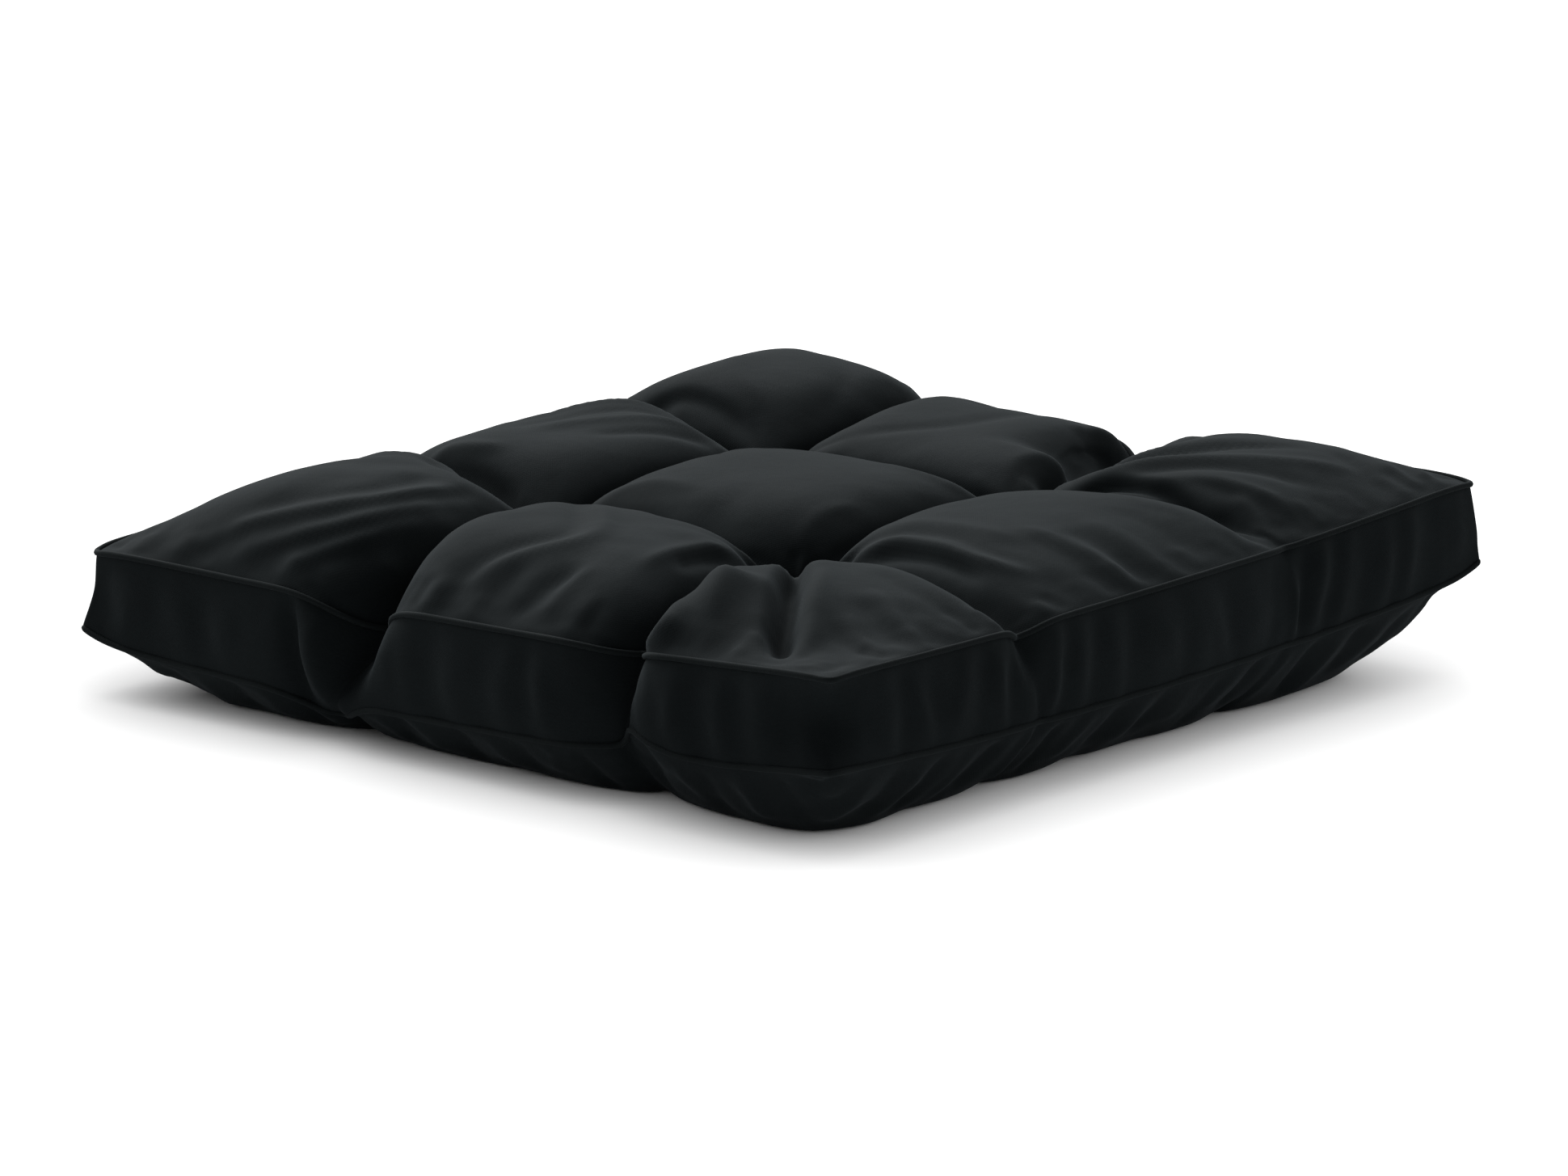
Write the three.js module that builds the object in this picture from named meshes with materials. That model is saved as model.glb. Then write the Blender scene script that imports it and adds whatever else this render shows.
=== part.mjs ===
// A square lounge cushion with a boxed edge: a top and a bottom panel, an upright boxing strip between
// them, a slim piping in each seam, and four tufts that draw the panels together into nine pillows.
// Millimetres, +Z up. The origin is on the floor, under the middle of the cushion. The front faces -Y.
import * as THREE from "three";
import { mergeVertices } from "three/addons/utils/BufferGeometryUtils.js";

const { lerp, clamp, smoothstep } = THREE.MathUtils;

// Driving sizes
const side = 600; // from corner to corner, along a side
const half = side / 2;
const tuftAt = side / 6; // each tuft's distance from the two middle lines
const floorPress = 9; // how far the bottom pillows would hang below the floor, were they not flattened on it
const footSoftness = 3; // rounds the rim of each flat spot on the floor
const sideBow = 6; // how far a side is drawn in at its middle
const bowReach = 250; // how far inwards a panel follows the bow of its side
const cornerCut = 7; // how far a rounded corner stays inside the square, along each side
const cornerPower = 14; // a higher power rounds the corners more tightly
const boxingBulge = 8; // how far the boxing strip stands out between the seams
const pipingRadius = 2;
const pipingGap = 0.8; // free space between a piping and its seam

// The shape of a pillow
const edgePower = 2.4; // how a panel rises from its seam: 2 is a round arc, more is fuller
const creasePower = { atTuft: 1.7, atSide: 6 }; // a higher power makes a narrower crease
const creaseBetweenTufts = 0.6; // a crease's depth half-way between two tufts, as a share of the crown
const tuftPinch = 9; // how far a tuft's thread sinks the cloth below its creases
const tuftReach = 24; // how far from a tuft that fades away

// Mesh steps
const stepsInPillow = 12;
const stepsUp = 6;
const stepsAlong = 3 * stepsInPillow;
const stepCrowding = 0.5; // crowds the steps towards the creases
const pipingSides = 6;

// The height of each seam above the floor at its four corners, and how far it sags between them.
const seams = {
  top: { leftFront: 108, rightFront: 124, leftBack: 88, rightBack: 106, sag: 6 },
  bottom: { leftFront: 50, rightFront: 60, leftBack: 32, rightBack: 44, sag: 7 },
};

// The height of each pillow's crown above the floor, a row of pillows at a time from the front.
const crowns = [
  { left: 121, middle: 140, right: 145 },
  { left: 136, middle: 134, right: 136 },
  { left: 139, middle: 134, right: 139 },
];

// The four long creases. Each passes two tufts and ends at two sides: "start" at the front or the left
// side, "finish" at the back or the right side. "at" is its place along that side on the top seam and
// "below" on the bottom seam. "deep" is its depth there, as a share of the crown. It pulls the seams in
// by "pull" over a stretch of "width", and the top seam down by "drop" over a wider one.
const creases = {
  frontToBack: [
    {
      tuft: -tuftAt,
      start: { at: -117, below: -104, deep: 0.8, pull: 10, width: 17, drop: 8 },
      finish: { at: -92, below: -84, deep: 0.85, pull: 14, width: 18, drop: 5 },
    },
    {
      tuft: tuftAt,
      start: { at: 128, below: 118, deep: 0.75, pull: 7, width: 15, drop: 2 },
      finish: { at: 104, below: 112, deep: 0.8, pull: 12, width: 17, drop: 5 },
    },
  ],
  leftToRight: [
    {
      tuft: -tuftAt,
      start: { at: -142, below: -130, deep: 0.95, pull: 21, width: 16, drop: 3 },
      finish: { at: -106, below: -98, deep: 0.8, pull: 12, width: 17, drop: 5 },
    },
    {
      tuft: tuftAt,
      start: { at: 72, below: 101, deep: 1, pull: 30, width: 21, drop: 12 },
      finish: { at: 90, below: 100, deep: 0.85, pull: 15, width: 19, drop: 6 },
    },
  ],
};
const pullReach = 95; // how far inwards the panels follow where a side is pulled in
const dropWidening = 1.8; // the stretch over which a top seam drops, as a multiple of "width"

// The creases that end at each side, and which of their ends is there.
const endsAt = {
  left: creases.leftToRight.map((crease) => crease.start),
  right: creases.leftToRight.map((crease) => crease.finish),
  front: creases.frontToBack.map((crease) => crease.start),
  back: creases.frontToBack.map((crease) => crease.finish),
};

// Places on a panel run from -1 to 1, with the creases a third away from the middle.
const third = 1 / 3;
const rimFrom = 0.9999; // places beyond this are on the rim, whatever rounding did to them

// Splits a place into the pillow it is in, counted from 0, and how far across that pillow it is.
function withinPillow(place) {
  const inThirds = ((place + 1) / 2) * 3;
  const pillow = Math.min(2, Math.floor(inThirds));
  return { pillow, across: inThirds - pillow };
}

// Crowds evenly spaced places towards the ends of each pillow.
function crowded(place) {
  const { pillow, across } = withinPillow(place);
  const moved = across - (stepCrowding * Math.sin(2 * Math.PI * across)) / (2 * Math.PI);
  return clamp(((pillow + moved) / 3) * 2 - 1, -1, 1);
}

// Blends three values that belong to the middles of the three pillows.
function blendPillows(values, place) {
  if (place < 0) return lerp(values[0], values[1], smoothstep(place, -2 * third, 0));
  return lerp(values[1], values[2], smoothstep(place, 0, 2 * third));
}

// Where a crease runs, at a place along it. It is straight between its tufts.
function creaseLine(crease, along, panel) {
  const start = panel === "top" ? crease.start.at : crease.start.below;
  const finish = panel === "top" ? crease.finish.at : crease.finish.below;
  if (along < -third) return lerp(start, crease.tuft, smoothstep(along, -1, -third));
  return lerp(crease.tuft, finish, smoothstep(along, third, 1));
}

// How far a place along a crease is from its tuft towards the side, as a share of that way.
function fromTuft(along) {
  return (Math.abs(along) - third) / (2 * third);
}

// How deep a crease is, as a share of the crown, at a place along it.
function creaseDepth(crease, along) {
  if (Math.abs(along) < third) return lerp(creaseBetweenTufts, 1, (along / third) ** 2);
  const end = along < 0 ? crease.start : crease.finish;
  return lerp(1, end.deep, Math.sin((fromTuft(along) * Math.PI) / 2));
}

// Spreads a place over the three pillows that two creases make between the sides.
function spread(place, pair, along, panel) {
  const knots = [-half, creaseLine(pair[0], along, panel), creaseLine(pair[1], along, panel), half];
  const { pillow, across } = withinPillow(place);
  return lerp(knots[pillow], knots[pillow + 1], across);
}

// The level of a seam, carried across the whole panel.
function seamLevel(seam, p, q) {
  const front = lerp(seam.leftFront, seam.rightFront, (p + 1) / 2);
  const back = lerp(seam.leftBack, seam.rightBack, (p + 1) / 2);
  return lerp(front, back, (q + 1) / 2) - seam.sag * (1 - p ** 2 * q ** 2);
}

// 1 over the pillows, falling to 0 at the two sides.
function edgeFall(place) {
  return 1 - clamp((Math.abs(place) - 2 * third) / third, 0, 1) ** edgePower;
}

// What two parallel creases leave of the fullness, at a place across them and a place along them.
function betweenCreases(pair, across, along) {
  let left = 1;
  pair.forEach((crease, i) => {
    const away = Math.abs(across - (2 * i - 1) * third) / third;
    const power = lerp(creasePower.atTuft, creasePower.atSide, clamp(fromTuft(along), 0, 1));
    left *= 1 - creaseDepth(crease, along) * clamp(1 - away, 0, 1) ** power;
  });
  return left;
}

// How far the tufts' threads sink the cloth at a point of a panel.
function pinch(x, y) {
  const distance = Math.hypot(Math.abs(x) - tuftAt, Math.abs(y) - tuftAt);
  return tuftPinch * Math.exp(-distance / tuftReach);
}

// Flattens what would sink into the floor, with a soft rim.
function onFloor(z) {
  if (z >= footSoftness) return z;
  return clamp(z + footSoftness, 0, 2 * footSoftness) ** 2 / (4 * footSoftness);
}

// How far a side is drawn in, and its top seam pulled down, at a point of the panel this far from it.
function drawnIn(name, along, distance, panel) {
  const follow = clamp(1 - distance / pullReach, 0, 1) ** 2;
  const bow = sideBow * (1 - (along / half) ** 2) * clamp(1 - distance / bowReach, 0, 1);
  const drawn = { pull: bow, drop: 0 };
  for (const end of endsAt[name]) {
    const centre = panel === "top" ? end.at : end.below;
    const away = (along - centre) / end.width;
    drawn.pull += end.pull * follow * Math.exp(-(away ** 2));
    if (panel === "top") drawn.drop += end.drop * follow * Math.exp(-((away / dropWidening) ** 2));
  }
  return drawn;
}

// A point of a panel, at p from left to right and q from front to back.
function panelPoint(p, q, panel) {
  const x = spread(p, creases.frontToBack, q, panel);
  const y = spread(q, creases.leftToRight, p, panel);
  const left = drawnIn("left", y, half + x, panel);
  const right = drawnIn("right", y, half - x, panel);
  const front = drawnIn("front", x, half + y, panel);
  const back = drawnIn("back", x, half - y, panel);

  const level = seamLevel(seams[panel], p, q) - left.drop - right.drop - front.drop - back.drop;
  const share =
    edgeFall(p) *
    edgeFall(q) *
    betweenCreases(creases.frontToBack, p, q) *
    betweenCreases(creases.leftToRight, q, p);
  const crown = blendPillows(
    crowns.map((row) => blendPillows([row.left, row.middle, row.right], p)),
    q,
  );
  const z =
    panel === "top"
      ? lerp(level, crown, share) - pinch(x, y)
      : onFloor(lerp(level, -floorPress, share) + pinch(x, y));
  return new THREE.Vector3(
    x + left.pull - right.pull - cornerCut * p * Math.abs(q) ** cornerPower,
    y + front.pull - back.pull - cornerCut * q * Math.abs(p) ** cornerPower,
    z,
  );
}

// A point of the cushion's surface, from a point on the faces of a cube that reaches from -1 to 1.
function cushionPoint(onCube) {
  const p = crowded(onCube.x);
  const q = crowded(onCube.y);
  const up = (onCube.z + 1) / 2;
  const point = panelPoint(p, q, "bottom").lerp(panelPoint(p, q, "top"), up);
  const onBoxing = up > 0 && up < 1;
  if (onBoxing) {
    const atRim = (place) => (Math.abs(place) > rimFrom ? Math.sign(place) : 0);
    const out = new THREE.Vector3(atRim(p), atRim(q), 0).normalize();
    point.addScaledVector(out, boxingBulge * Math.sin(Math.PI * up));
  }
  return point;
}

function cushionGeometry() {
  const cube = new THREE.BoxGeometry(2, 2, 2, stepsAlong, stepsAlong, stepsUp);
  cube.deleteAttribute("normal");
  cube.deleteAttribute("uv");
  const geometry = mergeVertices(cube);
  const points = geometry.getAttribute("position");
  const onCube = new THREE.Vector3();
  for (let i = 0; i < points.count; i++) {
    const point = cushionPoint(onCube.fromBufferAttribute(points, i));
    points.setXYZ(i, point.x, point.y, point.z);
  }
  geometry.computeVertexNormals();
  return geometry;
}

// The line of a piping, which goes round the cushion just outside its top or its bottom seam.
class SeamLine extends THREE.Curve {
  constructor(panel) {
    super();
    this.level = panel === "top" ? 1 : -1;
  }

  // A point of the cushion's surface beside the seam, at a part of the way round it from 0 to 1,
  // some steps in over the panel and some steps down the boxing.
  beside(round, stepsIn, stepsDown) {
    const around = THREE.MathUtils.euclideanModulo(round, 1) * 4;
    const turns = Math.floor(around) % 4;
    const reach = 1 - (2 * stepsIn) / stepsAlong;
    const onRim = new THREE.Vector3(2 * (around - Math.floor(around)) - 1, -1, 0).multiplyScalar(reach);
    onRim.applyAxisAngle(new THREE.Vector3(0, 0, 1), (turns * Math.PI) / 2);
    onRim.set(clamp(onRim.x, -1, 1), clamp(onRim.y, -1, 1), this.level * (1 - (2 * stepsDown) / stepsUp));
    return cushionPoint(onRim);
  }

  getPoint(round) {
    const step = 1 / (4 * stepsAlong);
    const seam = this.beside(round, 0, 0);
    const along = this.beside(round + step, 0, 0).sub(this.beside(round - step, 0, 0)).normalize();
    const overPanel = this.beside(round, 1, 0).sub(seam);
    const downBoxing = this.beside(round, 0, 1).sub(seam);
    const fromPanel = new THREE.Vector3().crossVectors(along, overPanel).setLength(this.level);
    const fromBoxing = new THREE.Vector3().crossVectors(along, downBoxing).setLength(-this.level);
    const out = fromPanel.add(fromBoxing).normalize();
    return seam.addScaledVector(out, pipingRadius + pipingGap);
  }

  // Even steps of the parameter, so that each ring of the piping stands at a point of the seam.
  getUtoTmapping(u) {
    return u;
  }
}

function pipingGeometry(panel) {
  return new THREE.TubeGeometry(new SeamLine(panel), 4 * stepsAlong, pipingRadius, pipingSides, true);
}

const coverCloth = new THREE.MeshStandardMaterial({ color: 0x1f2526, roughness: 0.9, metalness: 0 });
const pipingCloth = new THREE.MeshStandardMaterial({ color: 0x1c2122, roughness: 0.9, metalness: 0 });

const model = new THREE.Group();
const pieces = [
  { name: "cushion", geometry: cushionGeometry(), material: coverCloth },
  { name: "piping_top", geometry: pipingGeometry("top"), material: pipingCloth },
  { name: "piping_bottom", geometry: pipingGeometry("bottom"), material: pipingCloth },
];
for (const piece of pieces) {
  const mesh = new THREE.Mesh(piece.geometry, piece.material);
  mesh.name = piece.name;
  model.add(mesh);
}

export default model;
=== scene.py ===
import math
import bmesh
import bpy
import numpy as np
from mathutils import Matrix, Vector


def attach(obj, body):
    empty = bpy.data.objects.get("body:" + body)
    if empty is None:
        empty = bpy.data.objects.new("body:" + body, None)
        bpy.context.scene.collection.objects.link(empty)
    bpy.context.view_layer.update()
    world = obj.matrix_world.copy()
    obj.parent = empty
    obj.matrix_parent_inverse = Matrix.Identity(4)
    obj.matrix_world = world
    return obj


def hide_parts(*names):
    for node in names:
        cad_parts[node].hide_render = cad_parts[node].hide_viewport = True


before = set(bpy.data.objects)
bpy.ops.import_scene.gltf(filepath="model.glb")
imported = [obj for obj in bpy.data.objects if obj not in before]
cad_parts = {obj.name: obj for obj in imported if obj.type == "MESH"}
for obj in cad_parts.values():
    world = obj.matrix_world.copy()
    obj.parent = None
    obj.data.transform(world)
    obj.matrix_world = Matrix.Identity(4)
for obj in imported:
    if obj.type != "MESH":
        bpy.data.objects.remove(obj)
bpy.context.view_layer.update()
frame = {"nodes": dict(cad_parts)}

# A black tufted lounge cushion: its cover is cut to the shape set out below, filled and creased, then
# the two pipings are laid in its seams. Metres, +Z up, the deep creases on the left (-X).
scene = bpy.context.scene
print("frame loaded:", ", ".join(frame["nodes"]))


# The camera looks at the corner between the left and the front side, from low down and far away.
cameraView = {
    "azimuth": -48.5,
    "elevation": 13.4,
    "distance": 5.0,
    "aim": (0.0, 0.0, 0.049),
    "rise": 0.012,  # camera and aim together, up in the picture
    "lens": 189.7,
    "sensor": 36,
    "seesTo": 50,
}


def placeCamera():
    turn, tilt = math.radians(cameraView["azimuth"]), math.radians(cameraView["elevation"])
    back = Vector((math.sin(turn) * math.cos(tilt), -math.cos(turn) * math.cos(tilt), math.sin(tilt)))
    upwards = back.cross(Vector((math.cos(turn), math.sin(turn), 0)))
    lens = bpy.data.cameras.new("photoCamera")
    lens.lens = cameraView["lens"]
    lens.sensor_width = cameraView["sensor"]
    lens.clip_end = cameraView["seesTo"]
    camera = bpy.data.objects.new("photoCamera", lens)
    camera.location = Vector(cameraView["aim"]) + upwards * cameraView["rise"]
    camera.location += back * cameraView["distance"]
    camera.rotation_euler = back.to_track_quat("Z", "Y").to_euler()
    scene.collection.objects.link(camera)
    scene.camera = camera


placeCamera()
print("camera placed")


# The cover's cut and how full each part of it is. Places on a panel run from -1 to 1 both ways,
# and the creases lie a third of the way from the middle.
cover = {
    "half": 0.300,
    "crowns": (  # the pillows' heights, a row at a time from the front, each from left to right
        (0.131, 0.135, 0.141),
        (0.134, 0.134, 0.127),
        (0.138, 0.134, 0.143),
    ),
    "slackCorner": {"at": (-0.258, -0.258), "reach": 0.065, "depth": 0.016},  # less filling here
    "edgePower": {  # how late a pillow falls to its seam: left and right, then front and back
        "top": ((2.4, 4.0), (2.4, 1.8)),
        "bottom": ((2.3, 2.8), (2.3, 2.8)),
    },
    "floorPress": 0.011,  # how far the floor flattens the fullest part of the underside
    "footSoftness": 0.003,
    "sideBow": 0.006,  # how far the middle of a side is drawn in, and how far that reaches inwards
    "bowReach": 0.250,
    "boxingBulge": 0.004,
    "boxingTips": 6,
    "waistCut": (0.021, 0.002, 0.005, 0.007),  # how far the corners are cut back at mid-height
    "waistPower": 8,
    "cornerPower": 14,
    "tipPower": 16,
    "creaseAtTuft": 4.0,  # the flanks' steepness at the tufts, half-way between them and at the sides
    "creaseMidway": 6.0,
    "creaseAtSide": 7.0,
    "steepening": 1.5,
    "creaseBetweenTufts": 0.75,
    "creasesBelow": 0.15,  # how deep the underside's creases are beside those of the top
    "meeting": 2.6,  # how sharply two creases' flanks meet: more is sharper
    "thinnest": 0.02,
    "tuftAt": 0.100,
    "tuftPinch": 0.010,
    "tuftReach": 0.016,
    "pullReach": 0.130,  # how far inwards a crease's end draws the cloth, and how wide
    "pullPower": 2.6,
    "pullWidening": 2.4,
    "dropWidening": 1.1,
    "liftWidening": 0.75,
    "stepsAlong": 99,
    "stepsUp": 10,
    "crowding": 0.4,  # draws the steps together towards the creases and the seams
    "seamStiffness": 0.8,
}
# Each row of four is leftFront, rightFront, leftBack, rightBack, as in the waist's cut above: the
# seams' heights at the corners, how far their tips stand up, and how far the corners are cut back.
# The sags are left, right, front, back.
seams = {
    "top": {"level": (0.1115, 0.125, 0.094, 0.106), "tips": (-0.003, -0.005, -0.005, -0.004),
            "sag": (0.007, 0.009, 0.009, 0.008), "cut": (0.003, 0.005, 0.007, 0.006)},
    "bottom": {"level": (0.056, 0.066, 0.036, 0.048), "tips": (-0.002, 0.007, 0.008, 0.004),
               "sag": (0.013, 0.010, 0.012, 0.010), "cut": (0.004, 0.000, 0.000, 0.003)},
}


# Where a crease meets the seam above and below, how deep it is there, how far it pulls each seam in
# and over what width, and how far it draws the top and the bottom seam down or lifts the bottom one.
def creaseEnd(at, below, deep, pull, pullBelow, width, drop, dropBelow=0, liftBelow=0):
    return {"at": at, "below": below, "deep": deep, "pull": pull, "pullBelow": pullBelow, "width": width,
            "drop": drop, "dropBelow": dropBelow, "liftBelow": liftBelow}


creases = {
    "frontToBack": (
        {"tuft": -0.100,
         "start": creaseEnd(-0.125, -0.110, 0.85, 0.013, 0.003, 0.012, 0.009),
         "finish": creaseEnd(-0.074, -0.084, 0.85, 0.014, 0.008, 0.018, 0.005)},
        {"tuft": 0.100,
         "start": creaseEnd(0.118, 0.118, 0.75, 0.007, 0.002, 0.013, 0.002),
         "finish": creaseEnd(0.125, 0.112, 0.85, 0.014, 0.008, 0.018, 0.006)},
    ),
    "leftToRight": (
        {"tuft": -0.100,
         "start": creaseEnd(-0.131, -0.125, 0.95, 0.040, 0.020, 0.020, 0.010, liftBelow=0.013),
         "finish": creaseEnd(-0.052, -0.070, 0.95, 0.016, 0.008, 0.022, 0.013)},
        {"tuft": 0.100,
         "start": creaseEnd(0.081, 0.104, 1.00, 0.050, 0.026, 0.024, 0.026, dropBelow=0.014),
         "finish": creaseEnd(0.112, 0.115, 0.85, 0.015, 0.008, 0.019, 0.006)},
    ),
}
endsAt = {
    "left": [crease["start"] for crease in creases["leftToRight"]],
    "right": [crease["finish"] for crease in creases["leftToRight"]],
    "front": [crease["start"] for crease in creases["frontToBack"]],
    "back": [crease["finish"] for crease in creases["frontToBack"]],
}
third = 1 / 3
rim = 0.9999  # places beyond this are on a seam


def mix(start, finish, share):
    return start + (finish - start) * share


def easeIn(value, low, high):
    share = np.clip((value - low) / (high - low), 0, 1)
    return share * share * (3 - 2 * share)


def acrossPillows(values, place):
    before = mix(values[0], values[1], easeIn(place, -2 * third, 0))
    return np.where(place < 0, before, mix(values[1], values[2], easeIn(place, 0, 2 * third)))


def creaseLine(crease, along, side):
    key = "at" if side == "top" else "below"
    toStart = mix(crease["start"][key], crease["tuft"], easeIn(along, -1, -third))
    toFinish = mix(crease["tuft"], crease["finish"][key], easeIn(along, third, 1))
    return np.where(along < -third, toStart, toFinish)


def pastTuft(along):
    return (np.abs(along) - third) / (2 * third)


def creaseDepth(crease, along):
    deep = np.where(along < 0, crease["start"]["deep"], crease["finish"]["deep"])
    between = mix(cover["creaseBetweenTufts"], 1, (along / third) ** 2)
    beyond = mix(1, deep, np.sin(np.clip(pastTuft(along), 0, 1) * math.pi / 2))
    return np.where(np.abs(along) < third, between, beyond)


def spreadOut(place, pair, along, side):
    half = cover["half"]
    first, second = (creaseLine(crease, along, side) for crease in pair)
    inThirds = (place + 1) / 2 * 3
    outer = np.where(inThirds < 1, mix(-half, first, inThirds), mix(second, half, inThirds - 2))
    return np.where((inThirds >= 1) & (inThirds < 2), mix(first, second, inThirds - 1), outer)


def atCorners(values, p, q):
    front = mix(values[0], values[1], (p + 1) / 2)
    return mix(front, mix(values[2], values[3], (p + 1) / 2), (q + 1) / 2)


def seamLevel(seam, p, q):
    left, right, front, back = seam["sag"]
    sag = mix(left, right, (p + 1) / 2) * (1 - q ** 2) + mix(front, back, (q + 1) / 2) * (1 - p ** 2)
    sag = sag * (1 - 0.5 * (1 - p ** 2) * (1 - q ** 2))
    tip = atCorners(seam["tips"], p, q) * np.abs(p * q) ** cover["tipPower"]
    return atCorners(seam["level"], p, q) - sag + tip


def edgeFall(place, powers):
    power = np.where(place < 0, powers[0], powers[1])
    return 1 - np.clip((np.abs(place) - 2 * third) / third, 0, 1) ** power


def betweenCreases(p, q, side):
    total = 1
    share = 1 if side == "top" else cover["creasesBelow"]
    for name, across, along in (("frontToBack", p, q), ("leftToRight", q, p)):
        toEnd = np.where(np.abs(along) < third, cover["creaseMidway"], cover["creaseAtSide"])
        fromTuft = np.minimum(np.abs(pastTuft(along)) * 2, 1)
        power = mix(cover["creaseAtTuft"], toEnd, fromTuft ** cover["steepening"])
        for i, crease in enumerate(creases[name]):
            near = np.clip(1 - np.abs(across - (2 * i - 1) * third) / third, 0, 1)
            full = np.maximum(1 - share * creaseDepth(crease, along) * near ** power, cover["thinnest"])
            total = total + full ** -cover["meeting"] - 1
    return total ** (-1 / cover["meeting"])


def onFloor(z):
    soft = cover["footSoftness"]
    return np.where(z >= soft, z, np.clip(z + soft, 0, 2 * soft) ** 2 / (4 * soft))


def drawnIn(name, along, distance, side):
    follow = np.clip(1 - distance / cover["pullReach"], 0, 1) ** 2
    bow = cover["sideBow"] * np.clip(1 - distance / cover["bowReach"], 0, 1)
    pull = bow * (1 - (along / cover["half"]) ** 2)
    drop = 0
    for end in endsAt[name]:
        offset = (along - (end["at"] if side == "top" else end["below"])) / end["width"]
        away = np.abs(offset)
        reach = end["pull"] if side == "top" else end["pullBelow"]
        pull = pull + reach * follow * np.clip(1 - away / cover["pullWidening"], 0, 1) ** cover["pullPower"]
        lower = end["drop"] if side == "top" else end["dropBelow"]
        drop = drop + lower * follow * np.exp(-(away / cover["dropWidening"]) ** 2)
        if side == "bottom":
            nearer = np.clip(-offset, 0, None) / cover["liftWidening"]
            drop = drop - end["liftBelow"] * follow * nearer * np.exp(1 - nearer)
    return pull, drop


def panelPoints(p, q, side):
    half, power = cover["half"], cover["cornerPower"]
    cut = atCorners(seams[side]["cut"], p, q)
    x = spreadOut(p, creases["frontToBack"], q, side)
    y = spreadOut(q, creases["leftToRight"], p, side)
    left, right = drawnIn("left", y, half + x, side), drawnIn("right", y, half - x, side)
    front, back = drawnIn("front", x, half + y, side), drawnIn("back", x, half - y, side)
    level = seamLevel(seams[side], p, q) - left[1] - right[1] - front[1] - back[1]
    powers = cover["edgePower"][side]
    full = edgeFall(p, powers[0]) * edgeFall(q, powers[1]) * betweenCreases(p, q, side)
    crown = acrossPillows([acrossPillows(row, p) for row in cover["crowns"]], q)
    slack = cover["slackCorner"]
    toSlack = np.hypot(x - slack["at"][0], y - slack["at"][1]) / slack["reach"]
    crown = crown - slack["depth"] * np.exp(-toSlack ** 2)
    toTuft = np.hypot(np.abs(x) - cover["tuftAt"], np.abs(y) - cover["tuftAt"])
    pinch = cover["tuftPinch"] * np.exp(-toTuft / cover["tuftReach"])
    z = mix(level, crown, full) - pinch if side == "top" else mix(level, -cover["floorPress"], full) + pinch
    return np.stack([
        x + left[0] - right[0] - cut * p * np.abs(q) ** power,
        y + front[0] - back[0] - cut * q * np.abs(p) ** power,
        z,
    ], -1)


def coverPoints(place):
    p, q, up = place[:, 0], place[:, 1], (place[:, 2] + 1) / 2
    shape = mix(panelPoints(p, q, "bottom"), panelPoints(p, q, "top"), up[:, None])
    out = np.stack([np.sign(v) * (np.abs(v) > rim) for v in (p, q)], -1)
    out = out / np.maximum(np.linalg.norm(out, axis=1, keepdims=True), 1)
    onBoxing = (up > 1 - rim) & (up < rim)
    arch = np.where(onBoxing, np.sin(math.pi * up), 0)
    tips = np.abs(p * q)
    shape[:, :2] += out * (cover["boxingBulge"] * arch * (1 - tips ** cover["boxingTips"]))[:, None]
    seamCuts = (np.array(seams["top"]["cut"]) + seams["bottom"]["cut"]) / 2
    waist = atCorners(cover["waistCut"] - seamCuts, p, q) * arch * tips ** cover["waistPower"]
    shape[:, :2] -= place[:, :2] * waist[:, None]
    shape[:, 2] = onFloor(shape[:, 2])
    return shape


def readPoints(mesh, what="co"):
    values = np.empty(len(mesh.vertices) * 3, "f")
    mesh.vertices.foreach_get(what, values)
    return values.reshape(-1, 3).astype(float)


def writePoints(mesh, points):
    mesh.vertices.foreach_set("co", points.astype("f").ravel())
    mesh.update()


def readPlaces(mesh):
    values = np.empty(len(mesh.vertices) * 3, "f")
    mesh.attributes["place"].data.foreach_get("vector", values)
    return values.reshape(-1, 3).astype(float)


# A cube cut into even steps; each of its points keeps its place on the cover in "place".
def cutCover():
    bm = bmesh.new()
    bmesh.ops.create_cube(bm, size=2)
    for axis, steps in ((2, cover["stepsUp"]), (0, cover["stepsAlong"]), (1, cover["stepsAlong"])):
        lines = [edge for edge in bm.edges if abs((edge.verts[0].co - edge.verts[1].co)[axis]) > 1]
        bmesh.ops.subdivide_edges(bm, edges=lines, cuts=steps - 1, use_grid_fill=True)
    sewn = bm.edges.layers.float.new("crease_edge")
    for edge in bm.edges:
        ends = [vert.co for vert in edge.verts]
        onSeam = all(max(abs(at.x), abs(at.y)) > rim and abs(at.z) > rim for at in ends)
        edge[sewn] = cover["seamStiffness"] if onSeam else 0.0
    mesh = bpy.data.meshes.new("cushion_cover")
    bm.to_mesh(mesh)
    bm.free()
    place = readPoints(mesh)
    for axis in (0, 1):
        inThirds = (place[:, axis] + 1) / 2 * 3
        moved = inThirds - cover["crowding"] * np.sin(2 * math.pi * inThirds) / (2 * math.pi)
        place[:, axis] = np.clip(moved / 3 * 2 - 1, -1, 1)
    kept = mesh.attributes.new("place", "FLOAT_VECTOR", "POINT")
    kept.data.foreach_set("vector", place.astype("f").ravel())
    writePoints(mesh, coverPoints(place))
    piece = bpy.data.objects.new("cushion_cover", mesh)
    scene.collection.objects.link(piece)
    return piece


cushionCover = cutCover()
print("cover cut:", len(cushionCover.data.polygons), "faces")


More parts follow.
